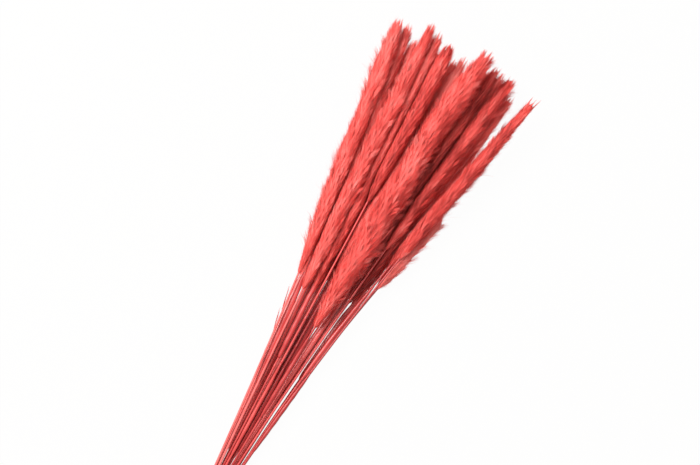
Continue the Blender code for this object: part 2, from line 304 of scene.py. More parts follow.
camera_data = bpy.data.cameras.new("camera")
camera_data.sensor_width = SENSOR
camera_data.lens = SENSOR * (CAMERA_HEIGHT - PLUME_HEIGHT) / (PHOTO_SIZE[0] * PIXEL)
camera_data.clip_end = FARTHEST_SEEN
camera = bpy.data.objects.new("camera", camera_data)
bpy.context.scene.collection.objects.link(camera)
picture_right = Vector((AXIS_PIXEL[0], AXIS_PIXEL[1], 0)).normalized()
picture_up = Vector((-AXIS_PIXEL[1], AXIS_PIXEL[0], 0)).normalized()
turn = Matrix((picture_right, picture_up, (0, 0, 1))).transposed()
middle = picture_place((PHOTO_SIZE[0] / 2, PHOTO_SIZE[1] / 2))
camera.matrix_world = Matrix.Translation((*middle, CAMERA_HEIGHT)) @ turn.to_4x4()
bpy.context.scene.camera = camera
print("lens in mm:", round(camera_data.lens))

# %% [markdown]
# The light is one broad lamp over the picture's upper left, so that every plume has a bright and a
# dark side and shades the next one. A point lamp would be simpler, but it casts hard shadows. The
# room adds a little light from all around.

# %% Lights
KEY_DISTANCE = 2.6
KEY_SIZE = 1.5
KEY_ELEVATION = math.radians(57)
KEY_POWER = 134
PLUMES_MIDDLE = Vector((0.1, 0, 0.03))
ROOM_LIGHT = 0.58
ROOM_SEEN = 0.95  # how bright the room is where the camera sees it
ROOM_COLOUR = (1.0, 0.985, 0.975, 1.0)


def lamp(name, direction, distance, size, power):
    """A square lamp that faces the middle of the plumes, unseen by the camera."""
    data = bpy.data.lights.new(name, "AREA")
    data.size = size
    data.energy = power
    holder = bpy.data.objects.new(name, data)
    holder.location = PLUMES_MIDDLE + direction.normalized() * distance
    holder.rotation_euler = direction.to_track_quat("Z", "Y").to_euler()
    holder.visible_camera = False
    bpy.context.scene.collection.objects.link(holder)


upper_left = (picture_up - picture_right).normalized()
key_direction = upper_left * math.cos(KEY_ELEVATION) + Vector((0, 0, math.sin(KEY_ELEVATION)))
lamp("key", key_direction, KEY_DISTANCE, KEY_SIZE, KEY_POWER)

world = bpy.data.worlds.new("room")
bpy.context.scene.world = world
world.use_nodes = True
sky = world.node_tree.nodes["Background"]
sky.inputs["Color"].default_value = ROOM_COLOUR
seen = world.node_tree.nodes.new("ShaderNodeLightPath")
strength = world.node_tree.nodes.new("ShaderNodeMapRange")
strength.inputs["To Min"].default_value = ROOM_LIGHT
strength.inputs["To Max"].default_value = ROOM_SEEN
world.node_tree.links.new(seen.outputs["Is Camera Ray"], strength.inputs["Value"])
world.node_tree.links.new(strength.outputs["Result"], sky.inputs["Strength"])

bpy.context.scene.view_settings.view_transform = "Standard"
print("lamps:", [light.name for light in bpy.data.lights])


# %% [markdown]
# Materials are written as expressions, because a wall of nodes and links is hard to read. A Value
# wraps a socket: the signs + - and * on it add Math nodes, and add() adds any other node.

# %% Shader arithmetic
class Value:
    """A socket of a node tree, with arithmetic."""

    def __init__(self, socket):
        self.socket = socket
        self.tree = socket.id_data

    def add(self, kind, settings, output=0, **inputs):
        """Adds a node to the tree and gives its output as a Value."""
        return add_node(self.tree, kind, settings, output, **inputs)

    def _math(self, operation, first, second):
        return self.add("ShaderNodeMath", {"operation": operation}, **{"0": first, "1": second})

    def __add__(self, other):
        return self._math("ADD", self, other)

    def __sub__(self, other):
        return self._math("SUBTRACT", self, other)

    def __rsub__(self, other):
        return self._math("SUBTRACT", other, self)

    def __mul__(self, other):
        return self._math("MULTIPLY", self, other)

    __radd__ = __add__
    __rmul__ = __mul__


# %% [markdown]
# One function makes every node from its type, its settings and what goes into its sockets. The
# settings come first, because some of them change which sockets a node has. What is the same all
# over a material is set on the shader itself, and only what changes over the surface is linked.

# %% Nodes and materials
def add_node(tree, kind, settings, output=0, **inputs):
    """Makes a node, applies its settings, then fills its sockets with values or links."""
    node = tree.nodes.new(kind)
    for key, value in settings.items():
        if key == "stops":
            while len(node.color_ramp.elements) < len(value):
                node.color_ramp.elements.new(0.5)
            for element, (position, colour) in zip(node.color_ramp.elements, value):
                element.position = position
                element.color = (*colour, 1)
        else:
            setattr(node, key, value)
    for key, value in inputs.items():
        socket = node.inputs[int(key)] if key.isdigit() else node.inputs[key.replace("_", " ")]
        if isinstance(value, Value):
            tree.links.new(value.socket, socket)
        else:
            socket.default_value = value
    return Value(node.outputs[output])


def new_material(name, **constants):
    """A material whose shader has these values all over. Gives the material, its tree and its
    shader."""
    material = bpy.data.materials.new(name)
    material.use_nodes = True
    shader = material.node_tree.nodes["Principled BSDF"]
    for key, value in constants.items():
        shader.inputs[key.replace("_", " ")].default_value = value
    return material, material.node_tree, shader


def feed(shader, **values):
    """Links values to the shader's sockets."""
    for key, value in values.items():
        value.tree.links.new(value.socket, shader.inputs[key.replace("_", " ")])


# %% [markdown]
# The plume's hair is fine and silky. Each hair carries a tone, which runs from the deep red of the
# inner down to the paler, pinker tips. The tone also carries painted shade and painted light: plumes,
# feet and flanks that lie in the shade of others are painted darker, and some that lie in the light
# are painted paler. A noise that is stretched along the bunch lets the dye take more in some clumps
# than in others. A hair is so thin that light passes it, so the shader is mixed with a translucent
# one.

# %% Plume material
# The two darkest stops colour dark clumps of dye, and they are also painted shade where plumes and
# flanks lie in their neighbours' shade.
DEEPEST_DYE_AND_PAINTED_SHADE = (0.34, 0.031, 0.026)
DARK_DYE_AND_PAINTED_SHADE = (0.44, 0.045, 0.038)
DEEP = (0.64, 0.077, 0.064)
CORAL = (0.88, 0.127, 0.106)
ROSY = (0.98, 0.285, 0.248)
SHEEN_TINT = (1.0, 0.62, 0.60, 1.0)
CLUMPS = (30.0, 85.0, 85.0)  # a metre, along and across
CLUMP_CONTRAST = 1.3
# Partly each plume's own dye, and partly painted light and painted shade for how lit or shaded each
# plume lies among the others.
PLUME_TONES_AND_SHADE = {  # how pale a plume is next to the others
    "reed_01": 0.12, "reed_02": 0.08, "reed_03": -0.20, "reed_04": 0.03, "reed_05": -0.20,
    "reed_06": -0.16, "reed_07": 0.12, "reed_08": -0.04, "reed_10": -0.42, "reed_11": -0.20,
    "reed_12": 0.16, "reed_13": 0.46, "reed_14": -0.18, "reed_15": 0.20, "reed_16": -0.12,
    "reed_17": -0.14, "reed_18": 0.66, "reed_19": 0.36, "reed_21": 0.30, "reed_22": 0.05,
    "reed_24": -0.05,
}
# Painted shade: how much darker the hair is painted on a plume's left and right sides, where it lies
# in its neighbours' shade. A negative value paints light there instead.
FLANKS_PAINTED_SHADE = {"reed_05": (0.56, 0), "reed_18": (0.25, -0.55)}
# Painted shade and light: how much darker a plume's foot and paler its tip are painted, in the rows
# from the lowest up, as the lower rows lie under the upper ones
FOOT_PAINTED_SHADE = [0.9, 0.9, 0.5, 0.0]
SHINE_THROUGH = 0.45  # share of the light that passes a hair
GLOW = (0.93, 0.118, 0.098)  # the colour of light that shines through a hair


def plume_tone_and_shade(reed, station):
    """How pale a plume is at a station: its own dye with painted light and shade, and a painted rise
    from a shaded foot to a paler tip.
    """
    reed_tone_and_shade = PLUME_TONES_AND_SHADE.get(reed.name, 0)
    return reed_tone_and_shade + FOOT_PAINTED_SHADE[reed.row] * (along_plume(reed, station) - 0.5)


plume_material, tree, shader = new_material(
    "dyed_plume", Roughness=0.62, Specular_IOR_Level=0.35, Sheen_Weight=0.25, Sheen_Roughness=0.4,
    Sheen_Tint=SHEEN_TINT,
)
place = add_node(tree, "ShaderNodeTexCoord", {}, output="Object")
stretched = place.add("ShaderNodeMapping", {}, Vector=place, Scale=CLUMPS)
patch = stretched.add("ShaderNodeTexNoise", {}, Vector=stretched, Scale=1.0, Detail=2.0)
tone = place.add("ShaderNodeAttribute", {"attribute_name": "tone"}, output="Fac")
stops = [(0.0, DEEPEST_DYE_AND_PAINTED_SHADE), (0.1, DARK_DYE_AND_PAINTED_SHADE), (0.24, DEEP), (0.6, CORAL), (1.0, ROSY)]
colour = tone.add("ShaderNodeValToRGB", {"stops": stops}, Fac=tone + CLUMP_CONTRAST * (patch - 0.5))
feed(shader, Base_Color=colour)
through = colour.add("ShaderNodeBsdfTranslucent", {}, Color=(*GLOW, 1.0))
mixed = through.add(
    "ShaderNodeMixShader", {}, **{"0": SHINE_THROUGH, "1": Value(shader.outputs[0]), "2": through},
)
tree.links.new(mixed.socket, tree.nodes["Material Output"].inputs["Surface"])
print("plume material:", plume_material.name)

# %% [markdown]
# Stems are straw: smooth, with fine lengthwise lines and a satin gloss. A wave texture could draw
# the lines, but they would be too even. So they come from a noise that is stretched along the stem
# through the stem's own map, which holds metres around and along it.

# %% Stem material
# The deep end of the ramp is also painted shade for stems that lie in shade, and the pale pink end is
# also a painted highlight for stems that lie in the light.
DEEP_STRAW_AND_SHADE = (0.32, 0.017, 0.016)
STRAW = (0.56, 0.060, 0.053)
PALE_STRAW_AND_HIGHLIGHT = (0.71, 0.160, 0.144)
STEM_LINES, LEAF_LINES = 1000.0, 800.0  # noise cells a metre, across the lines
LINES_ALONG = 9.0
PATCHES = 34.0
LINES_SHOW, PATCHES_SHOW, TONE_SHOWS, MIX_SHIFT = 0.45, 0.40, 0.85, 0.35
ROUGHNESS_RANGE = 0.25
LINE_RELIEF = 0.3
LINE_DEPTH = 0.12 * MM


def straw(name, roughness, across):
    """Dyed straw: colour and relief follow lengthwise lines, slow patches run along the stem, and the
    piece's own tone, its dye together with painted light and shade, makes it darker or paler."""
    material, tree, shader = new_material(name, Specular_IOR_Level=0.5)
    spot = add_node(tree, "ShaderNodeUVMap", {"uv_map": "metres"})
    lined = spot.add("ShaderNodeMapping", {}, Vector=spot, Scale=(across, LINES_ALONG, 1))
    lines = spot.add("ShaderNodeTexNoise", {}, Vector=lined, Scale=1.0, Detail=2.0, Roughness=0.5)
    slow = spot.add("ShaderNodeTexNoise", {}, Vector=spot, Scale=PATCHES, Detail=2.0)
    tone = spot.add("ShaderNodeAttribute", {"attribute_name": "tone"}, output="Fac")
    mix = LINES_SHOW * lines + PATCHES_SHOW * slow + TONE_SHOWS * tone - MIX_SHIFT
    stops = [(0.22, DEEP_STRAW_AND_SHADE), (0.5, STRAW), (0.8, PALE_STRAW_AND_HIGHLIGHT)]
    feed(shader, Base_Color=mix.add("ShaderNodeValToRGB", {"stops": stops}, Fac=mix))
    relief = lines.add("ShaderNodeBump", {}, Strength=LINE_RELIEF, Distance=LINE_DEPTH, Height=lines)
    feed(shader, Roughness=roughness + ROUGHNESS_RANGE * (slow - 0.5), Normal=relief)
    return material


stem_material = straw("dyed_stem", 0.38, STEM_LINES)
leaf_material = straw("dyed_leaf", 0.34, LEAF_LINES)
print("materials:", [material.name for material in bpy.data.materials])

# %% [markdown]
# Every fine piece is a mesh whose points are worked out as whole arrays, because a loop over
# hundreds of thousands of points is slow. One function turns points and faces into a piece that
# takes the place of its reed's solid.

# %% Points and faces to a piece
LEAST_LENGTH = 1e-12


def make_piece(name, reed, points, faces, material, tones=None, metres=None, normals=None):
    """A piece from points (n, 3) and a list of face arrays. tones is one number a point. metres, a
    pair, and normals, of any length, are one a corner."""
    mesh = bpy.data.meshes.new(name)
    corners = np.concatenate([group.ravel() for group in faces]).astype(np.int32)
    sizes = np.concatenate([np.full(len(group), group.shape[1]) for group in faces])
    starts = np.concatenate([[0], np.cumsum(sizes)[:-1]]).astype(np.int32)
    mesh.vertices.add(len(points))
    mesh.vertices.foreach_set("co", points.astype(np.float32).ravel())
    mesh.loops.add(len(corners))
    mesh.polygons.add(len(sizes))
    mesh.polygons.foreach_set("loop_start", starts)
    mesh.polygons.foreach_set("vertices", corners)
    mesh.update(calc_edges=True)
    mesh.shade_smooth()
    if tones is not None:
        attribute = mesh.attributes.new("tone", "FLOAT", "POINT")
        attribute.data.foreach_set("value", tones.astype(np.float32))
    if metres is not None:
        mesh.uv_layers.new(name="metres").data.foreach_set("uv", metres.astype(np.float32).ravel())
    if normals is not None:
        length = np.linalg.norm(normals, axis=-1, keepdims=True)
        normals = normals / np.maximum(length, LEAST_LENGTH)
        attribute = mesh.attributes.new("custom_normal", "FLOAT_VECTOR", "CORNER")
        attribute.data.foreach_set("vector", normals.astype(np.float32).ravel())
    mesh.materials.append(material)
    piece = bpy.data.objects.new(name, mesh)
    bpy.context.scene.collection.objects.link(piece)
    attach(piece, "root")
    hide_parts(reed.name)
    return piece


def triangle_count(piece):
    """Triangles of a piece, with a quad counted as two."""
    return sum(len(face.vertices) - 2 for face in piece.data.polygons)


# %% [markdown]
# Stems, leaves and down are all tubes with closed ends, so one loft serves for all three. It joins
# rings of points with quads and closes each end with a fan of triangles, so no face is left open.

# %% A loft with two poles
def loft(rings, start, end):
    """Points and faces of a closed tube: rings (n, m, 3) that turn from +Y to +Z, and a pole past
    either end. Also the ring number and the place round the ring of each face's corners, for a
    map."""
    n, m = rings.shape[:2]
    points = np.concatenate([[start], rings.reshape(-1, 3), [end]])
    i, j = np.meshgrid(np.arange(n - 1), np.arange(m), indexing="ij")
    ring_no = np.stack([i, i, i + 1, i + 1], axis=-1).reshape(-1, 4)
    turn_no = np.stack([j, j + 1, j + 1, j], axis=-1).reshape(-1, 4)
    quads = 1 + ring_no * m + turn_no % m
    j = np.arange(m)
    foot = np.stack([np.zeros(m, int), 1 + (j + 1) % m, 1 + j], axis=-1)
    last = 1 + (n - 1) * m
    head = np.stack([np.full(m, last + m), last + j, last + (j + 1) % m], axis=-1)
    foot_turn = np.stack([j + 0.5, j + 1, j], axis=-1)
    head_turn = np.stack([j + 0.5, j, j + 1], axis=-1)
    ring_of = np.concatenate([ring_no.ravel(), np.zeros(3 * m), np.full(3 * m, n - 1)])
    turn_of = np.concatenate([turn_no.ravel(), foot_turn.ravel(), head_turn.ravel()])
    return points, [quads, foot, head], ring_of, turn_of


# %% [markdown]
# A stem is a slim tube along the centreline. It swells a little at its joints, where a leaf once grew,
# and its cut end is hollow, with a thin wall. A curve with a round bevel would do for a plain stem,
# but the joints and the bore need rings of their own. No two stems have the same tone: partly each
# took the dye its own way, and partly the tone is painted light and painted shade for how lit or
# shaded each stem lies.

# %% Stems
STEM_ROUND = 12
STEM_STEP = 9 * MM
JOINT_SWELL = 0.20
JOINT_LENGTH = 1.6 * MM
JOINT_SPACING = 150 * MM
FIRST_JOINT = (0.55, 0.45)  # share of the spacing over the waist, and its range to either side
JOINT_REACH = np.linspace(-2.5, 2.5, 9)  # rings near a joint, in joint lengths
JOINT_CLEAR = 20 * MM  # from the plume's foot
STEM_FILL = 0.97  # of the solid's radius
STEM_IN_PLUME = 0.45  # share of the plume's length at which the hidden stem ends
BORE_DEPTH = 5 * MM
BORE_SHARE = 0.62
CUT_RIM = 0.2 * MM
MAP_SHIFT = 0.1  # metres from one reed's map to the next one's, so that no two have the same lines
# Partly each stem's own dye, and partly painted light and painted shade for how lit or shaded each
# stem lies; leaves take their stem's tone.
STEM_TONES_AND_SHADE = {  # how pale the stem is, from 0 to 1
    "reed_01": 0.66, "reed_02": 0.64, "reed_03": 0.38, "reed_04": 0.22, "reed_05": 0.40,
    "reed_06": 0.12, "reed_07": 0.32, "reed_08": 0.28, "reed_09": 0.05, "reed_10": 0.46,
    "reed_11": 0.38, "reed_12": 0.30, "reed_13": 0.44, "reed_14": 0.55, "reed_15": 0.12,
    "reed_16": 0.46, "reed_17": 0.35, "reed_18": 0.10, "reed_19": 0.60, "reed_20": 0.40,
    "reed_21": 0.05, "reed_22": 0.46, "reed_23": 0.30, "reed_24": 0.45,
}


def stem_joints(reed):
    """Stations of the stem's joints: one or two, evenly spaced from a random first one."""
    share, varies = FIRST_JOINT
    first = WAIST + JOINT_SPACING * (share + varies * chance(reed, "joint"))
    return [station for station in (first, first + JOINT_SPACING) if station < reed.foot - JOINT_CLEAR]


def make_stem(reed):
    """Rings of points round the centreline, closer together at the joints, kept above the table. A
    joint swells the radius by a bell curve, e to the minus square of the way in joint lengths."""
    cut = CUT_SPREAD * (1 + chance(reed, "cut")) / 2
    end = reed.foot + STEM_IN_PLUME * (reed.tip - reed.foot)
    joints = stem_joints(reed)
    near_joints = [joint + JOINT_REACH * JOINT_LENGTH for joint in joints]
    stations = np.unique(np.concatenate([np.arange(cut, end, STEM_STEP), [end], *near_joints]))
    radius = hard_radius(reed, np.minimum(stations, reed.foot)) * STEM_FILL
    for joint in joints:
        radius = radius * (1 + JOINT_SWELL * np.exp(-(((stations - joint) / JOINT_LENGTH) ** 2)))
    bore = [cut + BORE_DEPTH, cut + CUT_RIM]
    stations = np.concatenate([bore, stations])
    radius = np.concatenate([[BORE_SHARE * radius[0]] * len(bore), radius])
    turn = np.arange(STEM_ROUND) / STEM_ROUND * 2 * math.pi
    y, z = centre(reed, stations)
    rings = np.empty((len(stations), STEM_ROUND, 3))
    rings[..., 0] = (stations - BUNCH_LENGTH / 2)[:, None]
    rings[..., 1] = y[:, None] + radius[:, None] * np.cos(turn)
    rings[..., 2] = np.maximum(z[:, None] + radius[:, None] * np.sin(turn), 0)
    points, faces, ring_of, turn_of = loft(rings, rings[0].mean(0), rings[-1].mean(0))
    around = turn_of / STEM_ROUND * 2 * math.pi * STEM_RADIUS + REEDS.index(reed) * MAP_SHIFT
    metres = np.stack([around, stations[ring_of.astype(int)]], axis=-1)
    tones = np.full(len(points), STEM_TONES_AND_SHADE[reed.name])
    return make_piece(
        reed.name + "_stem", reed, points, faces, stem_material, tones=tones, metres=metres,
    )


stems = [make_stem(reed) for reed in REEDS]
print("triangles in stems:", sum(map(triangle_count, stems)))

# %% [markdown]
# Dry leaves still wrap some stems. A leaf is a thin arched strip whose edges hug the stem. It
# tapers to a point that stands off a little. A bent sheet with a Solidify modifier would float over
# a stem that curves. Here each ring of the leaf is set on the stem's own centreline.

# %% Leaves
LEAVES = {  # stations of both ends and half of the width, in millimetres
    "reed_03": (139, 262, 2.3), "reed_04": (196, 302, 2.6), "reed_06": (158, 268, 2.5),
    "reed_07": (226, 370, 3.8), "reed_08": (262, 374, 3.6), "reed_09": (142, 258, 3.0),
    "reed_10": (236, 376, 3.2), "reed_12": (254, 386, 3.0), "reed_13": (216, 384, 3.6),
    "reed_14": (208, 384, 4.0), "reed_15": (150, 384, 4.2), "reed_19": (250, 356, 3.6),
    "reed_20": (146, 364, 4.0), "reed_21": (190, 372, 4.2), "reed_22": (172, 332, 4.2),
    "reed_23": (190, 366, 3.8), "reed_24": (252, 384, 4.4),
}
LEAF_RIDGE = 2.0 * MM
LEAF_EDGE = 0.2 * MM
LEAF_THICKNESS = 0.3 * MM
LEAF_ALONG = 48
LEAF_ACROSS = 9
LEAF_WAVES = 40  # radians over the length of a leaf, whose edges are a little wavy
LEAF_WAVE_SIZE = 0.05
LEAF_LIFT = 1.2 * MM  # how far the point stands off
LIFT_START = 0.7
FLAT_ARCH = 0.35  # share of the arch that is left where the leaf is narrow
LEAF_MAP_STEP = 0.6 * MM


def make_leaf(reed):
    """The arch at share v across, from -1 to 1, is edge + (ridge - edge) (1 - v2)^0.7 high. The
    strip's width is w = t^0.3 (1 - t)^0.35 at share t along it, scaled to 1 at its widest."""
    start, end, half = (size * MM for size in LEAVES[reed.name])
    t = np.linspace(0.01, 0.99, LEAF_ALONG)
    width = t**0.3 * (1 - t) ** 0.35
    width = width / width.max() * (1 + LEAF_WAVE_SIZE * np.sin(LEAF_WAVES * t + REEDS.index(reed)))
    across = np.linspace(-1, 1, LEAF_ACROSS)
    arch = (1 - across**2) ** 0.7
    upper = LEAF_EDGE + (LEAF_RIDGE - LEAF_EDGE) * arch
    station = start + t * (end - start)
    lifted = LEAF_LIFT * smooth((t - LIFT_START) / (1 - LIFT_START))
    aside = np.concatenate([across[::-1], across[1:-1]])
    height = np.concatenate([upper[::-1], upper[1:-1] - LEAF_THICKNESS])
    out_y = half * width[:, None] * aside
    out_z = height * (FLAT_ARCH + (1 - FLAT_ARCH) * width[:, None]) + lifted[:, None]
    rings = settled(reed, np.broadcast_to(station[:, None], out_y.shape), out_y, out_z)
    points, faces, ring_of, turn_of = loft(rings[:, ::-1], rings[0].mean(0), rings[-1].mean(0))
    around = turn_of * LEAF_MAP_STEP + REEDS.index(reed) * MAP_SHIFT
    metres = np.stack([around, station[ring_of.astype(int)]], axis=-1)
    tones = np.full(len(points), STEM_TONES_AND_SHADE[reed.name])
    return make_piece(
        reed.name + "_leaf", reed, points, faces, leaf_material, tones=tones, metres=metres,
    )


leaves = [make_leaf(reed) for reed in REEDS if reed.name in LEAVES]
print("leaves:", len(leaves))

# %% [markdown]
# A plume is soft but dense. What the eye sees is its outline, gently lumpy because the hair lies in
# locks. A Displace modifier could add the lumps to a body, but the hair has to follow them too, so
# they are part of the formula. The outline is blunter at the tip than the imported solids, whose
# tufts run to points.

# %% The soft outline
FUR_TAPER = 0.82
FUR_TIP = 0.28
FUR_TIPS = {"reed_06": 0.46}  # blunter than the others
LUMP = 0.075
LUMP_WAVES = [(1, 3), (2, 7), (3, 12), (5, 19)]  # waves round the plume and half turns along it


def fur_radius(reed, station, turn):
    """The plume's radius with a blunt tip, times 1 plus lumps: the sum of four sines of turn and
    station."""
    share = along_plume(reed, station)
    swell = 1 - (1 - FOOT_SHARE) * (1 - np.clip(share / FOOT_SWELL, 0, 1)) ** 2
    start = EARLY_TAPERS.get(reed.name, FUR_TAPER)
    tip = FUR_TIPS.get(reed.name, FUR_TIP)
    taper = 1 - (1 - tip) * np.clip((share - start) / (1 - start), 0, 1) ** 2
    phases = draws(reed, "lumps").uniform(0, 2 * math.pi, len(LUMP_WAVES))
    lumps = sum(np.sin(waves * turn + half_turns * share * math.pi + phase)
                for (waves, half_turns), phase in zip(LUMP_WAVES, phases))
    return reed.fluff * swell * taper * (1 + LUMP * lumps)


ring = fur_radius(longest, half_way, np.arange(0, 2 * math.pi, 0.1)) / MM
print("outline half way along, in mm:", ring.min().round(1), "to", ring.max().round(1))


# %% [markdown]
# Under the hair lies down, too dense for light to pass. It is a closed tube round the spine at most
# of the outline's radius. It costs few faces, and without it a plume would need several times as
# much hair to look full.

# %% Down under the hair
DOWN_SHARE = 0.78  # of the outline's radius
DOWN_ROUND = 24
DOWN_STEP = 3.4 * MM
DOWN_ENDS = (0.01, 0.965)  # as shares of the plume's length
DOWN_TAPER = 0.88
DOWN_TIP = 0.35
DOWN_LEAST = 0.5 * MM
DOWN_TONE = 0.42


def make_down(reed):
    """Radius: a share of the outline's, drawn in towards the tip."""
    count = round((reed.tip - reed.foot) / DOWN_STEP)
    share = np.linspace(*DOWN_ENDS, count)[:, None]
    station = reed.foot + share * (reed.tip - reed.foot)
    turn = np.arange(DOWN_ROUND)[None] / DOWN_ROUND * 2 * math.pi
    drawn_in = 1 - (1 - DOWN_TIP) * smooth((share - DOWN_TAPER) / (1 - DOWN_TAPER))
    radius = np.maximum(DOWN_SHARE * fur_radius(reed, station, turn) * drawn_in, DOWN_LEAST)
    out_y, out_z = radius * np.cos(turn), radius * np.sin(turn)
    rings = settled(reed, np.broadcast_to(station, out_y.shape), out_y, out_z)
    points, faces, _, _ = loft(rings, rings[0].mean(0), rings[-1].mean(0) + (DOWN_STEP, 0, 0))
    tones = DOWN_TONE + plume_tone_and_shade(reed, points[:, 0] + BUNCH_LENGTH / 2)
    return make_piece(reed.name + "_down", reed, points, faces, plume_material, tones=tones)


downs = [make_down(reed) for reed in REEDS]
print("triangles in down:", sum(map(triangle_count, downs)))


# %% [markdown]
# Blender's own hair curves are quick to grow, but the plume has to be closed mesh like the solid
# that it replaces. So a hair is a slim closed sliver of four faces, a kite that is folded a little
# along its short axis. There are many thousands, so each keeps to four points: root, tip, and a
# right and a left corner between. It has to stay flat: a deeply folded hair is a fin, and fins
# stand like walls round black pits.

# %% Slivers
FOLD = 0.10 * MM
# The root is point 0, the right and left corners are 1 and 2, and the tip is 3
SLIVER_FACES = np.array([(0, 1, 2), (3, 2, 1), (0, 3, 1), (3, 0, 2)])


def slivers(root, tip, outward, width):
    """Points (4n, 3) and triangles of n slivers. The corners are half a width to either side of the
    middle, square to the line from root to tip and to the outward direction, and a fold's depth
    outward from the line."""
    forward = tip - root
    side = np.cross(forward, outward)
    side /= np.maximum(np.linalg.norm(side, axis=1, keepdims=True), TINY * MM)
    middle = (root + tip) / 2 + outward * FOLD
    points = np.stack([root, middle + side * width / 2, middle - side * width / 2, tip], axis=1)
    points[..., 2] = np.maximum(points[..., 2], 0)
    triangles = (np.arange(len(root)) * 4)[:, None, None] + SLIVER_FACES
    return points, triangles.reshape(-1, 3)


print("faces of a hair:", len(SLIVER_FACES))


# %% [markdown]
# A mesh that is shaded smooth would blend a hair's outer faces with its inner ones at the rim, and
# the hair would look like a bead. So every edge but the fold is marked as sharp.

# %% Sharp rims
def sharpen_rims(mesh):
    """Marks every edge of the slivers as sharp but the fold, so that outer and inner faces keep
    separate normals."""
    ends = np.empty(len(mesh.edges) * 2, np.int32)
    mesh.edges.foreach_get("vertices", ends)
    corners = np.sort(ends.reshape(-1, 2) % 4, axis=1)
    fold = (corners == (1, 2)).all(axis=1)
    mesh.attributes.new("sharp_edge", "BOOLEAN", "EDGE").data.foreach_set("value", ~fold)


# %% [markdown]
# Hairs lie in locks, like slim brushes that sweep up and out along the plume: wider where they are
# rooted and narrow at the tip. Hairs that are strewn one by one would look like moss. The locks
# follow each other round the spine by the golden angle, as leaves do. Most lie close, and some
# stray. On a plume that lies down, hair stands off at the sides and hangs flat on top.

# %% Locks of hair
GOLDEN_ANGLE = math.radians(137.5)
Locks = namedtuple("Locks", "tip turn stray lift tone lean")
LOCK_STEP = 0.5 * MM
CLOSE_LIFT = 0.07
STRAY_SHARE = 0.20
STRAY_LIFT = (0.18, 0.60)
STRAY_LENGTH = 0.72  # of a close hair's
STRAY_WEIGHT = 1.8  # hairs in a stray lock for each in a close one
TOP_STANDING = 0.25
# Painted light: thin hair that stands off is painted paler, for the light that shines through it
STRAY_PAINTED_LIGHT = 0.15  # how much paler thin hair that stands off looks
RAGGED = {"reed_18": 1.5, "reed_01": 1.1}  # plumes whose stray hair stands off more
FIRST_TIP = 6 * MM


def standing(turn):
    """How far hair stands off in a direction round the plume: 1 at both sides and less on top and
    below."""
    return TOP_STANDING + (1 - TOP_STANDING) * np.abs(np.cos(turn))


def make_locks(reed):
    """Station of the tip, turn, whether it strays, lift, tone and lean of every lock of a plume.
    The tips follow each other evenly, and the turn is the lock's number times the golden angle."""
    random = draws(reed, "locks")
    length = reed.tip - reed.foot
    count = round(length / LOCK_STEP)
    number = np.arange(count)
    tip = reed.foot + FIRST_TIP + (length - FIRST_TIP) * (number + random.random(count)) / count
    turn = number * GOLDEN_ANGLE + random.uniform(0, 2 * math.pi)
    stray = random.random(count) < STRAY_SHARE
    lift = np.where(stray, random.uniform(*STRAY_LIFT, count), random.uniform(0, CLOSE_LIFT, count))
    lift = lift * standing(turn) * RAGGED.get(reed.name, 1)
    return Locks(tip, turn, stray, lift, random.random(count), random.normal(0, 1, (count, 3)))


stray = make_locks(longest).stray
print("locks of", longest.name + ":", len(stray), "of which", stray.sum(), "stray")


# %% [markdown]
# Three kinds of hair grow on the locks. Most of it is close hair, which makes the surface. Fuzz is
# finer, shorter and stands off, so that the plume's edge is never clean. The last hairs end the
# plume in a few ragged points. A kind gives the ranges of length and width, how far out root and
# tip are as shares of the outline, how far tips rise past it, how wide the hairs spread beside
# their lock, and which share of that spread is left at the tip.

# %% Kinds of hair
Kind = namedtuple("Kind", "name length width root tip rise spread converge")
CLOSE = Kind(
    "close", (11 * MM, 21 * MM), (0.30 * MM, 0.58 * MM), 0.46, 0.96, 0.4 * MM, 1.5 * MM, 0.42,
)
FUZZ = Kind(
    "fuzz", (7 * MM, 13 * MM), (0.26 * MM, 0.42 * MM), 0.70, 1.0, 2.0 * MM, 2.5 * MM, 0.8,
)
POINTS = Kind(
    "points", (16 * MM, 26 * MM), (0.30 * MM, 0.55 * MM), 0.50, 0.80, 1.0 * MM, 1.6 * MM, 0.12,
)
POINTS_ZONE = 13 * MM  # how near the plume's tip its ragged points grow
RAGS = 5
RAG_DEPTH = 10 * MM
RAG_PAST = 1 * MM
print("kinds of hair:", [kind.name for kind in (CLOSE, FUZZ, POINTS)])


def ragged_end(reed, turn):
    """The station where the hair ends: the tip's, less a share of RAG_DEPTH that swings RAGS times
    round the plume."""
    phase = math.pi * chance(reed, "rags")
    return reed.tip + RAG_PAST - RAG_DEPTH * (0.5 + 0.5 * np.sin(RAGS * turn + phase))


# %% [markdown]
# Hair is combed along its lock. Its place, length, width and tone are drawn by chance, so that no
# two hairs are the same, but always from the same seed, so that every run gives the same bunch.

# %% Combing
THICK_BEHIND = 12 * MM  # a lock has as much hair as the plume is thick this far below its tip
LEAST_WEIGHT = 1 * MM
TIP_SCATTER = (-4 * MM, 3 * MM)
LEAST_HAIR = 3 * MM
FOOT_MARGIN = 0.5 * MM
ASIDE_SIGMA, ASIDE_LIMIT = 0.6, 1.4  # of the lock's spread
LEAST_SIZE = 2 * MM
DROOP = 0.36  # radians that a hair's tip sinks round the plume by its weight
LOCK_TONE, HAIR_TONE, BASE_TONE = 0.42, 0.22, 0.125  # what a lock, a hair and every hair add
PALE_SHARE, PALE_TONE = 0.07, 0.4  # how many hairs are bleached, and how much paler they are
LOCK_LEAN, HAIR_LEAN = 0.21, 0.12


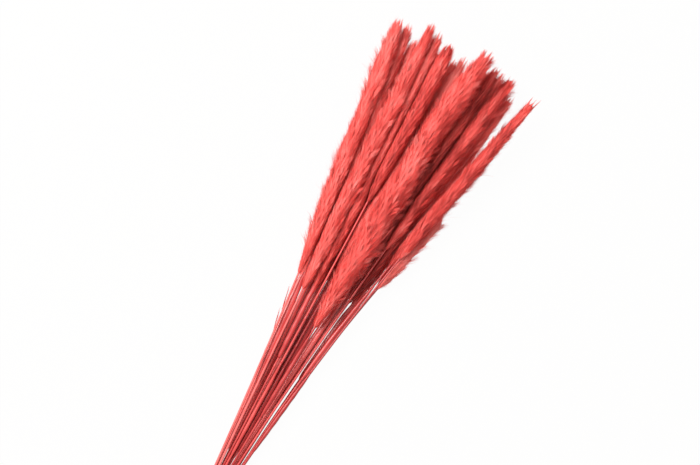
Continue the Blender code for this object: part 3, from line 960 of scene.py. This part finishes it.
def comb(reed, locks, kind, count):
    """Stations, turns and distances out of the roots and tips of count hairs, their tones, and how
    far their normals lean from straight out. A hair's root is beside its lock's middle. Its tip is
    drawn in towards it and sinks round the plume by the part of its weight that points that way,
    the cosine of the turn."""
    random = draws(reed, kind.name)
    pick = np.arange(len(locks.tip))
    if kind is POINTS:
        pick = np.flatnonzero(locks.tip > reed.tip - POINTS_ZONE)
    weight = plume_radius(reed, locks.tip[pick] - THICK_BEHIND) + LEAST_WEIGHT
    weight = weight * np.where(locks.stray[pick], STRAY_WEIGHT, 1)
    pick = pick[random.choice(len(pick), count, p=weight / weight.sum())]
    turn, stray = locks.turn[pick], locks.stray[pick]
    tip = np.minimum(locks.tip[pick] + random.uniform(*TIP_SCATTER, count), ragged_end(reed, turn))
    length = random.uniform(*kind.length, count) * np.where(stray, STRAY_LENGTH, 1)
    root = np.minimum(np.maximum(tip - length, reed.foot + FOOT_MARGIN), tip - LEAST_HAIR)
    aside = np.clip(random.normal(0, ASIDE_SIGMA, count), -ASIDE_LIMIT, ASIDE_LIMIT) * kind.spread
    size = np.maximum(fur_radius(reed, (root + tip) / 2, turn), LEAST_SIZE)
    root_turn = turn + aside / size
    tip_turn = turn + kind.converge * aside / size - DROOP * np.cos(turn)
    root_far = kind.root * fur_radius(reed, root, root_turn)
    rise_up = random.exponential(kind.rise, count) * standing(tip_turn)
    tip_far = (kind.tip + locks.lift[pick]) * fur_radius(reed, tip, tip_turn) + rise_up
    tone = LOCK_TONE * locks.tone[pick] + HAIR_TONE * random.random(count)
    tone = tone + plume_tone_and_shade(reed, tip) + BASE_TONE
    # Stray hair is painted paler here, as painted light for the light that shines through it
    tone = tone + PALE_TONE * (random.random(count) < PALE_SHARE) + STRAY_PAINTED_LIGHT * stray
    # Painted shade on the flanks that lie in a neighbour's shade, and painted light where a value is
    # negative
    left, right = FLANKS_PAINTED_SHADE.get(reed.name, (0, 0))
    tone = tone - left * np.maximum(np.cos(tip_turn), 0) - right * np.maximum(-np.cos(tip_turn), 0)
    lean = LOCK_LEAN * locks.lean[pick] + HAIR_LEAN * random.normal(0, 1, (count, 3))
    width = random.uniform(*kind.width, count)
    return (root, root_turn, root_far), (tip, tip_turn, tip_far), width, tone, lean


# %% [markdown]
# A few loose sprays stand off low on a stem, hang from a plume's side over its neighbours or run on
# past its end. They use the same slivers, but no neighbour presses them in.

# %% Loose sprays
Spray = namedtuple("Spray", "reed start end turn root_out tip_out")
SPRAYS = [
    Spray("reed_01", 284 * MM, 314 * MM, 0, 0.6 * MM, 4.4 * MM),
    Spray("reed_01", 306 * MM, 340 * MM, 0, 0.6 * MM, 4.2 * MM),
    Spray("reed_04", 405 * MM, 450 * MM, math.radians(166), 9 * MM, 17.5 * MM),
    Spray("reed_04", 450 * MM, 482 * MM, math.radians(170), 11 * MM, 16.5 * MM),
    Spray("reed_06", 620 * MM, 646 * MM, math.radians(172), 2.6 * MM, 3.8 * MM),
    Spray("reed_06", 618 * MM, 644 * MM, math.radians(20), 3.4 * MM, 5.4 * MM),
    Spray("reed_06", 620 * MM, 643 * MM, math.radians(85), 2.0 * MM, 2.4 * MM),
]
SPRAY_HAIRS = 60
SPRAY_HAIR_LENGTH = (12 * MM, 20 * MM)
SPRAY_TIPS = 0.55  # share of a spray's length, from its end, that its hairs' tips are spread over
SPRAY_TURN_SIGMA = 0.06
SPRAY_OUT_SIGMA = 0.35 * MM
SPRAY_TONE, SPRAY_TONE_RANGE = 0.7, 0.25
SPRAY_LEAN = 0.10


def spray_hairs(reed, spray):
    """Roots, tips, widths, tones and leans of a spray's hairs, as comb gives them. The way out
    grows evenly from the spray's start to its end."""
    random = draws(reed, f"spray {spray.start:.3f}")
    tip = spray.end - SPRAY_TIPS * (spray.end - spray.start) * random.random(SPRAY_HAIRS)
    root = np.maximum(tip - random.uniform(*SPRAY_HAIR_LENGTH, SPRAY_HAIRS), spray.start)
    turn = spray.turn + random.normal(0, SPRAY_TURN_SIGMA, SPRAY_HAIRS)

    def out(station):
        way = (station - spray.start) / (spray.end - spray.start)
        uneven = random.normal(0, SPRAY_OUT_SIGMA, SPRAY_HAIRS)
        return spray.root_out + (spray.tip_out - spray.root_out) * way + uneven

    tone = SPRAY_TONE + SPRAY_TONE_RANGE * random.random(SPRAY_HAIRS)
    lean = SPRAY_LEAN * random.normal(0, 1, (SPRAY_HAIRS, 3))
    root_far = out(root)
    tip_far = out(tip)
    width = random.uniform(*CLOSE.width, SPRAY_HAIRS)
    return (root, turn, root_far), (tip, turn, tip_far), width, tone, lean


def free(reed, station, out_y, out_z):
    """Points given by their offsets from the centreline, not drawn in."""
    y, z = centre(reed, station)
    return np.stack([station - BUNCH_LENGTH / 2, y + out_y, z + out_z], axis=-1)


print("loose sprays:", len(SPRAYS), "with", SPRAY_HAIRS, "hairs each")


# %% [markdown]
# Light that falls on thousands of flat slivers would glitter like tinsel. So each outer face takes
# the normal of the round plume under it, leaning a little by chance, and the plume is shaded as one
# soft body.

# %% Hair
SLIVER_TONES = np.array([0.0, 0.12, 0.12, 0.30])  # how much paler root, corners and tip are


def make_hair(reed, counts):
    """All hairs of a plume as one piece. The normals of their outer faces point away from the
    spine, as on a smooth plume, and lean a little by chance, each lock's together. The inner faces
    keep their own normals."""
    locks = make_locks(reed)
    parts = [comb(reed, locks, kind, count) for kind, count in counts.items()]
    sprays = [spray_hairs(reed, spray) for spray in SPRAYS if spray.reed == reed.name]
    ends = []
    for end in (0, 1):
        station, turn, far = (np.concatenate([part[end][k] for part in parts]) for k in range(3))
        places = [settled(reed, station, far * np.cos(turn), far * np.sin(turn))]
        for spray in sprays:
            station, turn, far = spray[end]
            places.append(free(reed, station, far * np.cos(turn), far * np.sin(turn)))
        ends.append(np.concatenate(places))
    parts += sprays
    width, tone, lean = (np.concatenate([part[k] for part in parts]) for k in (2, 3, 4))
    middle = (ends[0] + ends[1]) / 2
    axis_y, axis_z = centre(reed, middle[:, 0] + BUNCH_LENGTH / 2)
    outward = middle - np.stack([middle[:, 0], axis_y, axis_z], axis=-1)
    outward /= np.maximum(np.linalg.norm(outward, axis=1, keepdims=True), TINY)
    points, triangles = slivers(*ends, outward, width[:, None])
    tones = tone[:, None] + SLIVER_TONES
    soft = outward + lean
    rights = np.cross(points[:, 3] - points[:, 0], points[:, 1] - points[:, 0])
    lefts = np.cross(points[:, 2] - points[:, 0], points[:, 3] - points[:, 0])
    normals = np.stack([soft] * 6 + [rights] * 3 + [lefts] * 3, axis=1)
    piece = make_piece(reed.name + "_hair", reed, points.reshape(-1, 3), [triangles], plume_material,
                       tones=tones.ravel(), normals=normals)
    sharpen_rims(piece.data)
    return piece


# %% [markdown]
# The upper rows show, so they get most of the hair. The lower ones fill the dark places between
# them, where fewer hairs do.

# %% Grow the plumes
HAIRS_PER_MM = [13.0, 17.0, 30.0, 44.0]  # for each millimetre of plume, from the lowest row up
FUZZ_PER_MM = [1.0, 2.0, 4.5, 7.0]
POINT_HAIRS = [120, 160, 260, 320]

hairs = []
for reed in REEDS:
    length = (reed.tip - reed.foot) / MM
    counts = {
        CLOSE: round(HAIRS_PER_MM[reed.row] * length),
        FUZZ: round(FUZZ_PER_MM[reed.row] * length),
        POINTS: POINT_HAIRS[reed.row],
    }
    hairs.append(make_hair(reed, counts))
print("triangles in hair:", sum(map(triangle_count, hairs)))

# %% [markdown]
# The table is a plain pale sheet. It glows a little, so that it stays as white as the photograph's
# ground under the soft shadow of the bunch.

# %% Table
TABLE_HALF = 6.0
TABLE_BASE = (0.01, 0.01, 0.01, 1)
TABLE_COLOUR = (1.0, 0.998, 0.996, 1)
TABLE_GLOW = 0.976
table_material, tree, shader = new_material(
    "pale_table", Roughness=0.9, Specular_IOR_Level=0.0, Base_Color=TABLE_BASE,
    Emission_Color=TABLE_COLOUR, Emission_Strength=TABLE_GLOW,
)
corners = [(x * TABLE_HALF, y * TABLE_HALF, 0) for x, y in ((-1, -1), (1, -1), (1, 1), (-1, 1))]
table_mesh = bpy.data.meshes.new("table")
table_mesh.from_pydata(corners, [], [(0, 1, 2, 3)])
table_mesh.materials.append(table_material)
table = bpy.data.objects.new("table", table_mesh)
bpy.context.scene.collection.objects.link(table)
print("table:", 2 * TABLE_HALF, "metres wide")
